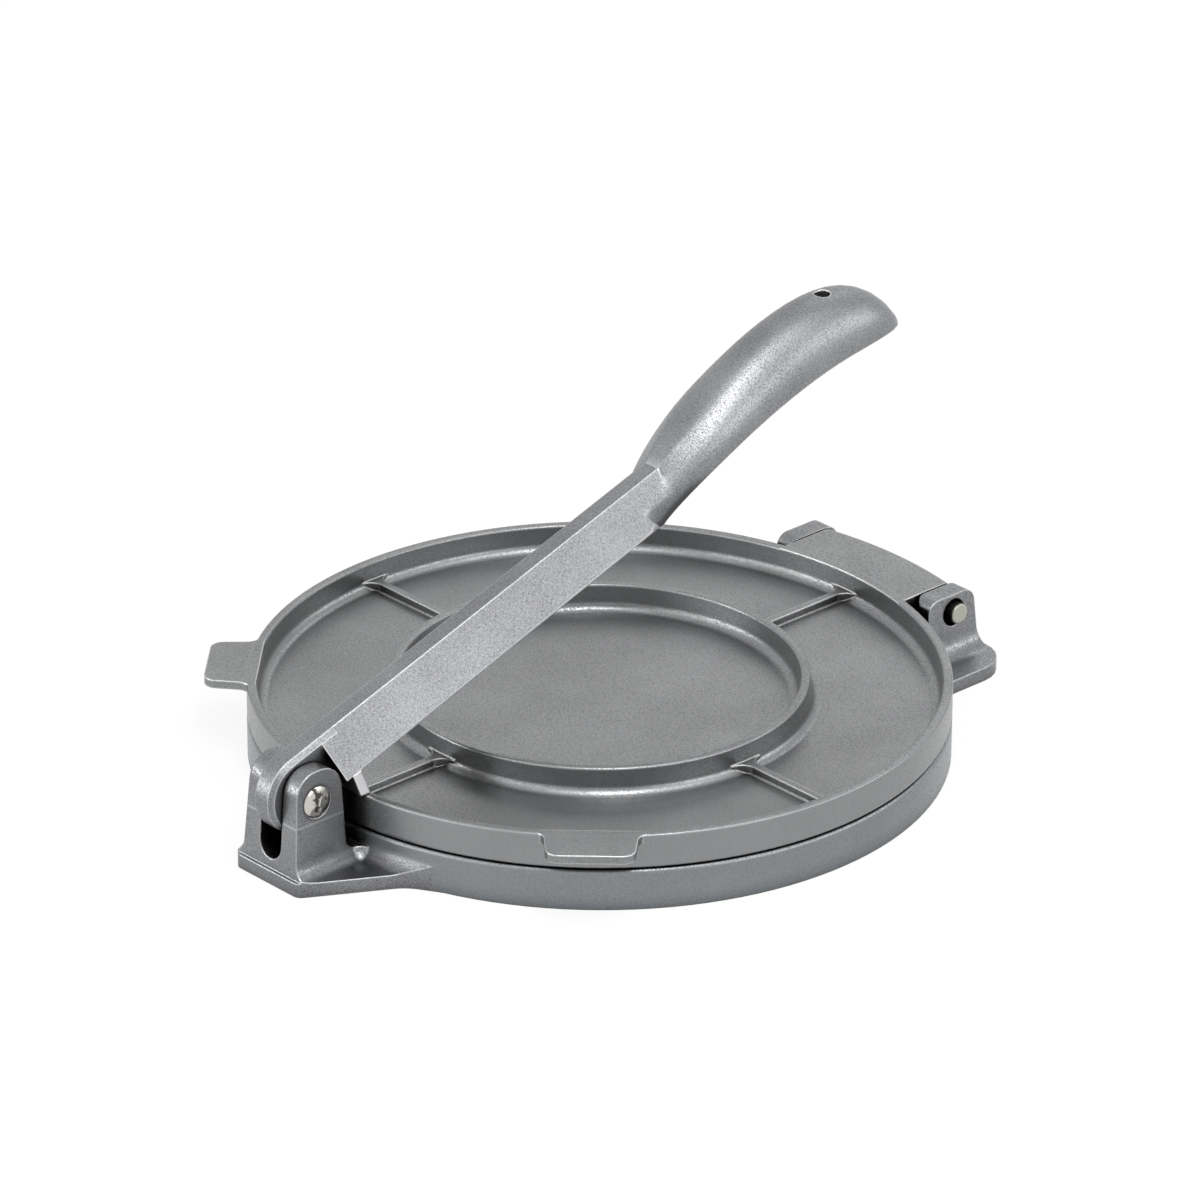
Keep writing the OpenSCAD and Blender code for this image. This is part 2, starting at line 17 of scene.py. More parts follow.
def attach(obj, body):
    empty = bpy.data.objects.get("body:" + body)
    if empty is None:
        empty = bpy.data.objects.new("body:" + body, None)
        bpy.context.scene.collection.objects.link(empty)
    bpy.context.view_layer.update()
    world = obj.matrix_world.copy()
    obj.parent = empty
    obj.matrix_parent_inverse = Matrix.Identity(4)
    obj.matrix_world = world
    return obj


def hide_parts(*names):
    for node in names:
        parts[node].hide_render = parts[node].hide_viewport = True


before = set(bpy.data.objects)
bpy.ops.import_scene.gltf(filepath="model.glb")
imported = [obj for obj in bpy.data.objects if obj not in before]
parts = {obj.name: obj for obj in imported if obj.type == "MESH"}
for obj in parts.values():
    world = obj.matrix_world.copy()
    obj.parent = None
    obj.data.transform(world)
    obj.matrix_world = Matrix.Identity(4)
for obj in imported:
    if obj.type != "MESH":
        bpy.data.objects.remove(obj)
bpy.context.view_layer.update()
scene = bpy.context.scene
MM = 0.001

for name, part in parts.items():
    size = part.dimensions / MM
    print(f"{name}: {size.x:.1f} x {size.y:.1f} x {size.z:.1f} mm, {len(part.data.polygons)} faces")

# %% [markdown]
# ## Colours and nodes
#
# A colour picked from a picture is stored with a curve that suits the eye, while the shaders work with
# light as it adds up. So every colour here is written as an ordinary hex value and goes through one
# function. A second small function adds a node, because a material written as a list of such calls can
# be read from top to bottom: first what the node is, then what goes into it.


# %% Helpers for colours and nodes
def linear(hex_colour):
    """An sRGB colour such as #8899AA as the linear RGBA that a shader wants."""
    channels = [int(hex_colour[i : i + 2], 16) / 255 for i in (1, 3, 5)]
    return (*[c / 12.92 if c <= 0.04045 else ((c + 0.055) / 1.055) ** 2.4 for c in channels], 1)


def add_node(tree, kind, inputs=None, **settings):
    """Adds one node. inputs names or counts its inputs and gives each a value, a socket or a node."""
    made = tree.nodes.new(kind)
    for key, value in settings.items():
        setattr(made, key, value)
    for key, value in (inputs or {}).items():
        named = (i for i in made.inputs if i.enabled and i.name == key)
        into = made.inputs[key] if isinstance(key, int) else next(named)
        if isinstance(value, bpy.types.Node):
            value = next(o for o in value.outputs if o.enabled)
        if isinstance(value, bpy.types.NodeSocket):
            tree.links.new(value, into)
        else:
            into.default_value = value
    return made


def new_finish(name):
    """An empty material and its node tree."""
    made = bpy.data.materials.new(name)
    made.use_nodes = True
    made.node_tree.nodes.clear()
    return made, made.node_tree


print("white is", linear("#FFFFFF"), "and middle grey is", [round(c, 3) for c in linear("#808080")])

# %% [markdown]
# ## Soft facets
#
# The fillets and the grip come as many narrow flat faces, which polished metal would show as stripes.
# Nothing in their shape has to change: it is enough that neighbouring faces share their normals where
# they meet at a small angle. A short node group welds the seams between faces, drops the stored normals
# and marks only real edges as sharp, and a Weighted Normal modifier then lets the large flat faces stay
# flat.

# %% Smooth shading across small angles
REAL_EDGE_DEGREES = {"base": 24, "top_plate": 24, "lever": 38}
WELD_MM = 0.002
FLAT_FACES_WEIGHT = 90


def soft_facets(name, real_edge):
    """A node group that shades smoothly over edges whose faces turn by less than real_edge degrees."""
    group = bpy.data.node_groups.new(name, "GeometryNodeTree")
    for direction in ("INPUT", "OUTPUT"):
        group.interface.new_socket("Geometry", in_out=direction, socket_type="NodeSocketGeometry")
    start = add_node(group, "NodeGroupInput")
    welded = add_node(group, "GeometryNodeMergeByDistance", {"Geometry": start, "Distance": WELD_MM * MM})
    bare = add_node(group, "GeometryNodeRemoveAttribute", {"Geometry": welded, "Name": "custom_normal"})
    angle = add_node(group, "GeometryNodeInputMeshEdgeAngle").outputs[0]
    turns = {0: angle, 1: radians(real_edge)}
    gentle = add_node(group, "FunctionNodeCompare", turns, operation="LESS_THAN")
    faces = add_node(group, "GeometryNodeSetShadeSmooth", {"Geometry": bare}, domain="FACE")
    edges = add_node(
        group, "GeometryNodeSetShadeSmooth", {"Geometry": faces, "Shade Smooth": gentle}, domain="EDGE"
    )
    add_node(group, "NodeGroupOutput", {0: edges})
    return group


for name, real_edge in REAL_EDGE_DEGREES.items():
    parts[name].modifiers.new("soft_facets", "NODES").node_group = soft_facets(f"soft_{name}", real_edge)
    weights = parts[name].modifiers.new("flat_faces_first", "WEIGHTED_NORMAL")
    weights.keep_sharp = True
    weights.weight = FLAT_FACES_WEIGHT
    print(f"{name} shades smoothly over edges under {real_edge} degrees")

# %% [markdown]
# ## The camera
#
# A product photograph is taken from far away through a long lens, so that round plates stay even
# ellipses. The view was worked out from the ellipses of the rims: 47 degrees round from the clevis, 27
# degrees up and 2.4 m away. A camera's own frame is three directions, and building it from them is
# plainer than turning it by angles: backwards to the camera, right, and up, with the small roll of a
# camera held by hand.

# %% Place the camera
AZIMUTH, ELEVATION, ROLL = radians(47.21), radians(27.0), radians(0.28)
DISTANCE = 2.4
PICTURE_PIXELS = 1200
FOCAL_PIXELS = 8171
SENSOR_MM = 36
AIM = Vector((0, 0, 0.5 * MM))
AIM_BELOW_MIDDLE_PIXELS = 143
AIM_LEFT_OF_MIDDLE_PIXELS = 0.5

back = Vector((sin(AZIMUTH) * cos(ELEVATION), -cos(AZIMUTH) * cos(ELEVATION), sin(ELEVATION)))
right = Vector((cos(AZIMUTH), sin(AZIMUTH), 0))
up = back.cross(right)
right, up = right * cos(ROLL) + up * sin(ROLL), up * cos(ROLL) - right * sin(ROLL)

# The press stands below the picture's middle, so the camera looks that much above it
forward = up * AIM_BELOW_MIDDLE_PIXELS + right * AIM_LEFT_OF_MIDDLE_PIXELS - back * FOCAL_PIXELS
forward.normalize()
right = forward.cross(up).normalized()
up = right.cross(forward)

camera_data = bpy.data.cameras.new("photo_camera")
camera_data.sensor_width = SENSOR_MM
camera_data.lens = FOCAL_PIXELS / PICTURE_PIXELS * SENSOR_MM
camera_data.clip_end = 20
camera = bpy.data.objects.new("photo_camera", camera_data)
scene.collection.objects.link(camera)
axes = Matrix((right, up, -forward)).transposed().to_4x4()
camera.matrix_world = Matrix.Translation(AIM + back * DISTANCE) @ axes
scene.camera = camera
print(f"lens {camera_data.lens:.1f} mm, camera at {[round(c, 3) for c in camera.matrix_world.translation]}")

# %% [markdown]
# ## The table and the light
#
# The photograph has a pure white ground and hardly any shadow. A floor lit until it is white would
# flood the metal, so the floor is instead mostly light of its own for the eye and for reflections, at a
# strength of 1, and keeps a share of a plain matt floor that takes the press's soft shadow.

# %% Lay the floor
PAPER_GLOW = 0.86
PAPER_RADIUS = 3


def white_ground(tree):
    """1 for the rays that should see a white ground: the camera's, mirrors' and glass's."""
    path = add_node(tree, "ShaderNodeLightPath").outputs
    seen = add_node(
        tree, "ShaderNodeMath", {0: path["Is Camera Ray"], 1: path["Is Glossy Ray"]}, operation="MAXIMUM"
    )
    return add_node(
        tree, "ShaderNodeMath", {0: seen, 1: path["Is Transmission Ray"]}, operation="MAXIMUM"
    )


def make_floor():
    """A round sheet of white paper on the table plane."""
    finish, tree = new_finish("white_paper")
    matt = add_node(tree, "ShaderNodeBsdfDiffuse", {"Color": linear("#F4F4F4")})
    glow = add_node(tree, "ShaderNodeEmission", {"Color": linear("#FFFFFF"), "Strength": 1})
    share = add_node(tree, "ShaderNodeMath", {0: white_ground(tree), 1: PAPER_GLOW}, operation="MULTIPLY")
    paper = add_node(tree, "ShaderNodeMixShader", {0: share, 1: matt, 2: glow})
    add_node(tree, "ShaderNodeOutputMaterial", {"Surface": paper})
    mesh = bpy.data.meshes.new("paper_floor")
    form = bmesh.new()
    bmesh.ops.create_circle(form, cap_ends=True, segments=64, radius=PAPER_RADIUS)
    form.to_mesh(mesh)
    form.free()
    mesh.materials.append(finish)
    floor = bpy.data.objects.new("paper_floor", mesh)
    scene.collection.objects.link(floor)
    return floor


floor = make_floor()
print(f"{floor.name}: {PAPER_RADIUS} m in radius, {PAPER_GLOW:.0%} of it glows")

# %% [markdown]
# ## The white room
#
# The room round the press is white too. The eye and the metal's reflections see it at a strength of 1,
# like the ground, but it lights the press at only 0.6, so that the lamps still give it its shape.

# %% Make the room
ROOM_LEVEL = 0.6

world = bpy.data.worlds.new("white_room")
scene.world = world
world.use_nodes = True
room = world.node_tree
room.nodes.clear()
levels = {"Value": white_ground(room), "To Min": ROOM_LEVEL, "To Max": 1}
level = add_node(room, "ShaderNodeMapRange", levels)
walls = add_node(room, "ShaderNodeBackground", {"Color": linear("#FFFFFF"), "Strength": level})
add_node(room, "ShaderNodeOutputWorld", {"Surface": walls})
scene.view_settings.view_transform = "Standard"
print(f"{world.name} lights the press at {ROOM_LEVEL}")

# %% [markdown]
# ## Six softboxes
#
# Metal shows its lamps. A mirror direction worked back from each bright place on the press says where
# they were: a wide softbox overhead with a brighter middle, which makes the hot line on the grip and
# the bright fillets, a large pale one to the left of the clevis with a low brighter one beside it for
# the ears' front, a long low one to the right, which lights the arm's flank, and a small one behind the
# hinge, which the flat floors of the upper plate half mirror. A lamp's level here is how bright its
# face looks in a mirror, where the white ground is 1.


# %% Softboxes
def softbox(name, azimuth, elevation, distance, width, height, level):
    """A rectangular area lamp that faces the press; azimuth is counted from the clevis towards +X."""
    a, e = radians(azimuth), radians(elevation)
    place = Vector((sin(a) * cos(e), -cos(a) * cos(e), sin(e))) * distance
    lamp = bpy.data.lights.new(name, "AREA")
    lamp.shape = "RECTANGLE"
    lamp.size, lamp.size_y = width, height
    lamp.energy = level * pi * width * height
    lamp_object = bpy.data.objects.new(name, lamp)
    facing = place.to_track_quat("Z", "Y").to_matrix().to_4x4()
    lamp_object.matrix_world = Matrix.Translation(place) @ facing
    scene.collection.objects.link(lamp_object)
    print(f"{name}: {width} x {height} m, level {level}")


softbox("overhead_softbox", azimuth=74, elevation=63, distance=2.4, width=2.5, height=1.5, level=1.4)
softbox("overhead_middle", azimuth=63, elevation=66, distance=2.2, width=0.56, height=1.35, level=6.8)
softbox("left_softbox", azimuth=-15, elevation=25, distance=2.4, width=2.4, height=2.1, level=1.1)
softbox("low_left_softbox", azimuth=-34, elevation=9, distance=2.2, width=1.2, height=0.6, level=4.8)
softbox("right_softbox", azimuth=120, elevation=25, distance=2.4, width=3.6, height=0.68, level=2.5)
softbox("back_softbox", azimuth=-150, elevation=42, distance=2.4, width=1.0, height=0.7, level=1.2)

# %% [markdown]
# ## Sand-cast aluminium
#
# The castings come out of fine sand and are then tumbled with small stones. That takes off the burrs
# and leaves a satin skin: grey, not mirror bright, with a fine grain of pits that the stones didn't
# reach. A bare metal is metallic 1 with the default IOR, so its colour is simply how much light it
# throws back. One noise gives it both its shade and its gloss: the low places are the dull, rough pits,
# and the rest are the smoother, brighter peaks. The sand's real grain of 0.1 to 0.2 mm is finer than a
# pixel of the picture, so it is drawn at about half a millimetre, where it just shows. A slow faint
# mottle of 25 mm comes from the uneven tumbling. All three castings start from this one skin, so they
# look as if they came out of the same foundry.

# %% The skin of a casting
MOTTLE_MM = 25
MOTTLE_SHARE = 0.3
DULL_BELOW, BRIGHT_ABOVE = 0.3, 0.7
PIT_ROUGHNESS = 0.55
PIT_FLOOR, PIT_RIM = 0.36, 0.48


def raw_casting(name, dull, bright, grit_mm, peak_roughness):
    """A tumbled skin between two hex colours. Its nodes may still be changed where the part was worked."""
    finish, tree = new_finish(name)
    place = add_node(tree, "ShaderNodeTexCoord").outputs["Object"]
    fine = {"Vector": place, "Scale": 1 / (grit_mm * MM), "Detail": 2}
    grit = add_node(tree, "ShaderNodeTexNoise", fine)
    slow = {"Vector": place, "Scale": 1 / (MOTTLE_MM * MM), "Detail": 4}
    mottle = add_node(tree, "ShaderNodeTexNoise", slow)
    both = add_node(tree, "ShaderNodeMix", {"Factor": MOTTLE_SHARE, "A": grit, "B": mottle})
    polish = {"Value": both, "From Min": DULL_BELOW, "From Max": BRIGHT_ABOVE}
    rubbed = add_node(tree, "ShaderNodeMapRange", polish)
    shades = {"Factor": rubbed, "A": linear(dull), "B": linear(bright)}
    colour = add_node(tree, "ShaderNodeMix", shades, data_type="RGBA")
    pits = {"Value": grit, "From Min": PIT_FLOOR, "From Max": PIT_RIM}
    gloss = {"To Min": PIT_ROUGHNESS, "To Max": peak_roughness}
    satin = add_node(tree, "ShaderNodeMapRange", {**pits, **gloss})
    return finish, tree, place, colour, satin, grit


print(f"mottle {MOTTLE_MM} mm, roughness {PIT_ROUGHNESS} in the pits")

# %% [markdown]
# ## Bare metal
#
# Every material on the press ends in the same few nodes: a grain that stands a few hundredths of a
# millimetre high, and the shader of a bare metal. A bump is right for the grain, because it is far too
# fine for the mesh.


# %% Bare metal
def bare_metal(tree, colour, roughness, grain, grain_mm, rounded=None):
    """A metal whose grain stands grain_mm high, on rounded edges where those are given."""
    height = {"Height": grain, "Strength": 1, "Distance": grain_mm * MM}
    if rounded is not None:
        height["Normal"] = rounded
    bump = add_node(tree, "ShaderNodeBump", height)
    skin = {"Base Color": colour, "Metallic": 1, "Roughness": roughness, "Normal": bump}
    metal = add_node(tree, "ShaderNodeBsdfPrincipled", skin)
    add_node(tree, "ShaderNodeOutputMaterial", {"Surface": metal})


print("bare metal takes a colour, a roughness and a grain")

# %% [markdown]
# ## Worn edges with a painted highlight, and painted shade in gaps
#
# Tumbling stones rub the edges first, so every real edge is slightly rounded and carries a thin,
# brighter line, which is partly that wear and partly a painted highlight. The edges could be drawn by
# hand, but a Bevel node finds them: it gives the normal that a rounded edge would have, and where that
# leaves the true normal, there is an edge. Narrow gaps get painted shade instead: a near-black colour
# is mixed in as the shade in them. An Ambient Occlusion node finds them by how little open space a
# point has within some millimetres.

# %% Worn edges with a painted highlight, painted shade in gaps
EDGE_WEAR_AND_HIGHLIGHT_MM = 0.8
BLEND_MM = 5
FLAT_LIKENESS, EDGE_LIKENESS = 0.995, 0.9
GAP_MM = 12
OPEN_GAP, CLOSED_GAP = 0.64, 0.36
GAP_SHADE = "#1E1E1E"


def tumbled_metal(tree, colour, satin, grain, grain_mm, edge, blended=0.0):
    """Bare metal with worn edges in a painted highlight and painted shade in narrow gaps.

    Where blended is 1, edges are smoothed away over BLEND_MM instead, as a pattern maker fills a corner."""
    widths = {"To Min": EDGE_WEAR_AND_HIGHLIGHT_MM * MM, "To Max": BLEND_MM * MM}
    radius = add_node(tree, "ShaderNodeMapRange", {"Value": blended, **widths})
    rounded = add_node(tree, "ShaderNodeBevel", {"Radius": radius}, samples=8)
    true = add_node(tree, "ShaderNodeNewGeometry").outputs["Normal"]
    likeness = add_node(tree, "ShaderNodeVectorMath", {0: rounded, 1: true}, operation="DOT_PRODUCT")
    bends = {"Value": likeness, "From Min": FLAT_LIKENESS, "From Max": EDGE_LIKENESS}
    bent = add_node(tree, "ShaderNodeMapRange", bends)
    plain = add_node(tree, "ShaderNodeMath", {0: 1.0, 1: blended}, operation="SUBTRACT")
    on_edge = add_node(tree, "ShaderNodeMath", {0: bent, 1: plain}, operation="MULTIPLY")
    # Painted highlight: the edge colour is mixed in along the edges, over their real wear.
    rubbed = {"Factor": on_edge, "A": colour, "B": linear(edge)}
    colour = add_node(tree, "ShaderNodeMix", rubbed, data_type="RGBA")

    # Painted shade: where a point has little open space round it, a near-black colour is mixed in.
    space = add_node(tree, "ShaderNodeAmbientOcclusion", {"Distance": GAP_MM * MM}, samples=8)
    gaps = {"Value": space.outputs["AO"], "From Min": OPEN_GAP, "From Max": CLOSED_GAP}
    shaded_gaps = {"Factor": add_node(tree, "ShaderNodeMapRange", gaps), "A": colour, "B": linear(GAP_SHADE)}
    colour = add_node(tree, "ShaderNodeMix", shaded_gaps, data_type="RGBA")
    bare_metal(tree, colour, satin, grain, grain_mm, rounded)


# Edges get wear and a painted highlight, and gaps get painted shade.
print(f"edges worn over {EDGE_WEAR_AND_HIGHLIGHT_MM} mm, dust in gaps within {GAP_MM} mm")

# %% [markdown]
# ## The round walls
#
# The outer walls of both plates were turned on a lathe, so that they match all round, and tumbled
# afterwards. That leaves them a little smoother and cleaner than the cast skin. The mask for it is the
# distance from the plates' axis: the wall is where that equals the plates' radius.

# %% Find the turned walls
WALL_R_MM = 103.3
OFF_WALL_MM, ON_WALL_MM = 0.4, 0.25


def turn_wall(tree, place, colour, shade, share):
    """Mixes a share of the wall's shade into the colour on the turned walls. Also returns their mask."""
    flat = add_node(tree, "ShaderNodeVectorMath", {0: place, 1: (1, 1, 0)}, operation="MULTIPLY")
    radius = add_node(tree, "ShaderNodeVectorMath", {0: flat}, operation="LENGTH")
    from_wall = add_node(tree, "ShaderNodeMath", {0: radius, 1: WALL_R_MM * MM}, operation="SUBTRACT")
    off_wall = add_node(tree, "ShaderNodeMath", {0: from_wall}, operation="ABSOLUTE")
    near = {"Value": off_wall, "From Min": OFF_WALL_MM * MM, "From Max": ON_WALL_MM * MM}
    turned = add_node(tree, "ShaderNodeMapRange", near)
    tint = add_node(tree, "ShaderNodeMath", {0: turned, 1: share}, operation="MULTIPLY")
    walls = {"Factor": tint, "A": colour, "B": linear(shade)}
    return turned, add_node(tree, "ShaderNodeMix", walls, data_type="RGBA")


print(f"turned walls at {WALL_R_MM} mm from the axis")

# %% [markdown]
# ## The upper plate
#
# The upper plate is as cast and tumbled, but for its turned wall, which is a shade brighter. Its large
# faces were rubbed more evenly than the other castings, so its dull and bright colours lie closer
# together.


# %% Dress the upper plate
def dress(node, finish):
    """Gives every slot of a part this finish."""
    for slot in parts[node].material_slots:
        slot.material = finish
    print(node, "wears", finish.name)


finish, tree, place, colour, satin, grit = raw_casting(
    "cast_aluminium_plate", dull="#6F7071", bright="#979899", grit_mm=0.5, peak_roughness=0.31
)
turned, colour = turn_wall(tree, place, colour, shade="#8C8D8E", share=0.7)
# The edge colour is a painted highlight along the worn edges.
tumbled_metal(tree, colour, satin, grit, grain_mm=0.02, edge="#C4C5C6")
dress("top_plate", finish)

# %% [markdown]
# ## The base
#
# The base's turned wall is a little bluer than its skin, and its grain there is lower, because the
# lathe's tool cut it away and the tumbling brought back only some of it.

# %% Start the base's skin
WALL_GRAIN_SHARE = 0.4

finish, tree, place, colour, satin, grit = raw_casting(
    "cast_aluminium_base", dull="#636466", bright="#999A9C", grit_mm=0.5, peak_roughness=0.33
)
turned, colour = turn_wall(tree, place, colour, shade="#82878A", share=0.6)
fine = add_node(tree, "ShaderNodeMapRange", {"Value": turned, "To Min": 1, "To Max": WALL_GRAIN_SHARE})
grain = add_node(tree, "ShaderNodeMath", {0: grit, 1: fine}, operation="MULTIPLY")
print(f"the turned wall keeps {WALL_GRAIN_SHARE:.0%} of the grain")

# %% [markdown]
# ## The parting line
#
# The two halves of the base's mould met 20 mm up on the clevis ears, and the stones rubbed the faint
# ridge that was left there. It is drawn as a narrow band round that height, only in front of the round
# plate.

# %% Draw the parting line
PARTING_MM = 20
PARTING_FADES_MM, PARTING_FULL_MM = 0.5, 0.2
PARTING_STRENGTH = 0.45
PLATE_SIDE_MM, EAR_SIDE_MM = -107, -108

axes = add_node(tree, "ShaderNodeSeparateXYZ", {0: place}).outputs
from_parting = add_node(tree, "ShaderNodeMath", {0: axes["Z"], 1: PARTING_MM * MM}, operation="SUBTRACT")
off_parting = add_node(tree, "ShaderNodeMath", {0: from_parting}, operation="ABSOLUTE")
band = {"Value": off_parting, "From Min": PARTING_FADES_MM * MM, "From Max": PARTING_FULL_MM * MM}
line = add_node(tree, "ShaderNodeMapRange", {**band, "To Max": PARTING_STRENGTH})
ears = {"Value": axes["Y"], "From Min": PLATE_SIDE_MM * MM, "From Max": EAR_SIDE_MM * MM}
on_ears = add_node(tree, "ShaderNodeMapRange", ears)
parting = add_node(tree, "ShaderNodeMath", {0: line, 1: on_ears}, operation="MULTIPLY")
seam = {"Factor": parting, "A": colour, "B": linear("#C0C1C3")}
colour = add_node(tree, "ShaderNodeMix", seam, data_type="RGBA")
print(f"parting line {PARTING_MM} mm above the table")

# %% [markdown]
# ## Painted shade round the rivet
#
# The ears get a ring of painted shade within a millimetre of the rivet's heads, where shade falls
# between head and ear. The mask is the distance from the lever's pivot, without the part of it along the
# rivet.

# %% Darken the ears and dress the base
PIVOT_MM = Vector((0, -118.2, 26.1))
RIVET_SHADE_ENDS_MM, RIVET_SHADE_FULL_MM = 5.9, 4.9
RIVET_SHADE_STRENGTH = 0.8

from_rivet = add_node(tree, "ShaderNodeVectorMath", {0: place, 1: PIVOT_MM * MM}, operation="SUBTRACT")
across = add_node(tree, "ShaderNodeVectorMath", {0: from_rivet, 1: (0, 1, 1)}, operation="MULTIPLY")
reach = add_node(tree, "ShaderNodeVectorMath", {0: across}, operation="LENGTH")
ring = {"Value": reach, "From Min": RIVET_SHADE_ENDS_MM * MM, "From Max": RIVET_SHADE_FULL_MM * MM}
# Painted shade: a dark ring on the ears round the rivet's heads.
rivet_shade = add_node(tree, "ShaderNodeMapRange", {**ring, "To Max": RIVET_SHADE_STRENGTH})
shaded_ring = {"Factor": rivet_shade, "A": colour, "B": linear("#3C3B3B")}
colour = add_node(tree, "ShaderNodeMix", shaded_ring, data_type="RGBA")
# The edge colour is a painted highlight along the worn edges.
tumbled_metal(tree, colour, satin, grain, grain_mm=0.02, edge="#A6A7A9")
dress("base", finish)

# %% [markdown]
# ## The lever
#
# The arm and grip were rubbed on a belt before tumbling, which leaves a slightly brighter skin with
# more sparkle. The two ends of the pressing foot, which stand out beside the arm, carry a painted
# highlight: they are painted nearly white. The mask is a box around them: a point is in it where
# it is far enough to the side, low enough and far enough forward, and the three answers are multiplied
# together.

# %% Mark the painted highlight on the lever's foot ends
FOOT_ENDS_BESIDE_MM, FOOT_ENDS_BELOW_MM, FOOT_ENDS_BEFORE_MM = (11.8, 12), (33.2, 33), (-99.8, -100)


def within_limits(tree, *limits):
    """1 where every measure is past its limit, given as the mm where it starts and where it is full."""
    inside = 1.0
    for measure, starts, full in limits:
        limit = {"Value": measure, "From Min": starts * MM, "From Max": full * MM}
        past = add_node(tree, "ShaderNodeMapRange", limit)
        inside = add_node(tree, "ShaderNodeMath", {0: past, 1: inside}, operation="MULTIPLY")
    return inside


finish, tree, place, colour, satin, grit = raw_casting(
    "cast_aluminium_lever", dull="#646567", bright="#9E9FA1", grit_mm=0.45, peak_roughness=0.38
)
axes = add_node(tree, "ShaderNodeSeparateXYZ", {0: place}).outputs
aside = add_node(tree, "ShaderNodeMath", {0: axes["X"]}, operation="ABSOLUTE")
lit_foot_ends = within_limits(
    tree, (aside, *FOOT_ENDS_BESIDE_MM), (axes["Z"], *FOOT_ENDS_BELOW_MM), (axes["Y"], *FOOT_ENDS_BEFORE_MM)
)
# Painted highlight: the foot ends are mixed towards nearly white.
painted_highlight = {"Factor": lit_foot_ends, "A": colour, "B": linear("#E4E4E6")}
colour = add_node(tree, "ShaderNodeMix", painted_highlight, data_type="RGBA")
print(f"fresh metal more than {FOOT_ENDS_BESIDE_MM[1]} mm beside the arm's middle")

# %% [markdown]
# ## The grip's root
#
# Where the flat flanks run into the round grip, the pattern maker blended the corners, so there the
# Bevel node rounds wide and no painted edge highlight is drawn. The same kind of mask picks the place
# out: a short stretch along the lever, on both sides of its top strip. Its limits are wide, so that the
# narrow worn edges and their painted highlight fade into the blended corners and never end at a line.

# %% Blend the root and dress the lever
ROOT_STARTS_MM, ROOT_ENDS_MM, ROOT_BESIDE_MM = (9, 13), (34, 26), (4.5, 6)

blended = within_limits(
    tree, (axes["Y"], *ROOT_STARTS_MM), (axes["Y"], *ROOT_ENDS_MM), (aside, *ROOT_BESIDE_MM)
)
# The edge colour is a painted highlight along the worn edges.
tumbled_metal(tree, colour, satin, grit, grain_mm=0.04, edge="#CDCECF", blended=blended)
dress("lever", finish)

# %% [markdown]
# ## The rivet's heads
#
# The rivet's heads were closed with a hammer. Each blow leaves a small flat, so the head is a low dome
# cut by a few flat marks. A sculpted bump would only pretend to that, and the head catches the light by
# its shape. In mesh code it is simple: the height at a point is the lowest of the dome and of the
# planes that touch it a little below its surface. The marks lie on a spiral, which spreads them evenly
# without a regular pattern.

# %% Shape a hammered head
HEAD_R, DOME = 4.7, 1.4
DOME_R = (HEAD_R**2 + DOME**2) / (2 * DOME)
LEAST_HEIGHT = 0.02
BLOW_COUNT = 7
BLOWS_WITHIN = 4.0
FIRST_ANGLE, GOLDEN_ANGLE = 200, 137.5
SHALLOWEST, DEEPER_BY = 0.12, 0.05


def blow(k):
    """One hammer blow: its distance from the head's middle, its direction and its depth."""
    return (
        BLOWS_WITHIN * sqrt((k + 0.3) / BLOW_COUNT),
        radians(GOLDEN_ANGLE * k + FIRST_ANGLE),
        SHALLOWEST + DEEPER_BY * (k * 5 % 4),
    )


def head_height(y, z):
    """Height of the hammered head above its seat, in mm."""
    centre = DOME_R - DOME
    height = sqrt(DOME_R**2 - y * y - z * z) - centre
    for away, angle, depth in map(blow, range(BLOW_COUNT)):
        rise = sqrt(DOME_R**2 - away * away)
        along = y * cos(angle) + z * sin(angle)
        height = min(height, rise - centre - depth - away / rise * (along - away))
    return max(height, LEAST_HEIGHT)


print(f"heads {2 * HEAD_R} mm across and {DOME} mm high, {head_height(0, 0):.2f} mm in the middle")

# %% [markdown]
# ## The rivet's mesh
#
# A rivet is one turned form: left head, shank, right head. So its mesh is a stack of rings along the X
# axis, sewn together with faces, and closed by a small disc at each end. Each head's seat lies on its
# clevis ear, 10.17 mm from the middle. The rings of the heads take their heights from the hammered
# form, and there are many of them, because a flat mark needs close points to stay crisp.

# %% Model the rivet
SHANK_R, SEAT = 4.0, 10.17
POINTS_ROUND, RINGS_ON_HEAD = 96, 32
CRISP_DEGREES = 40


def ring_of(form, radius, side, on_head):
    """A ring of points at the seat of the right (1) or left (-1) head, or up on the head."""
    row = []
    for k in range(POINTS_ROUND):
        angle = 2 * pi * k / POINTS_ROUND
        y, z = radius * cos(angle), radius * sin(angle)
        x = side * (SEAT + (head_height(y, z) if on_head else 0))
        row.append(form.verts.new((PIVOT_MM + Vector((x, y, z))) * MM))
    return row


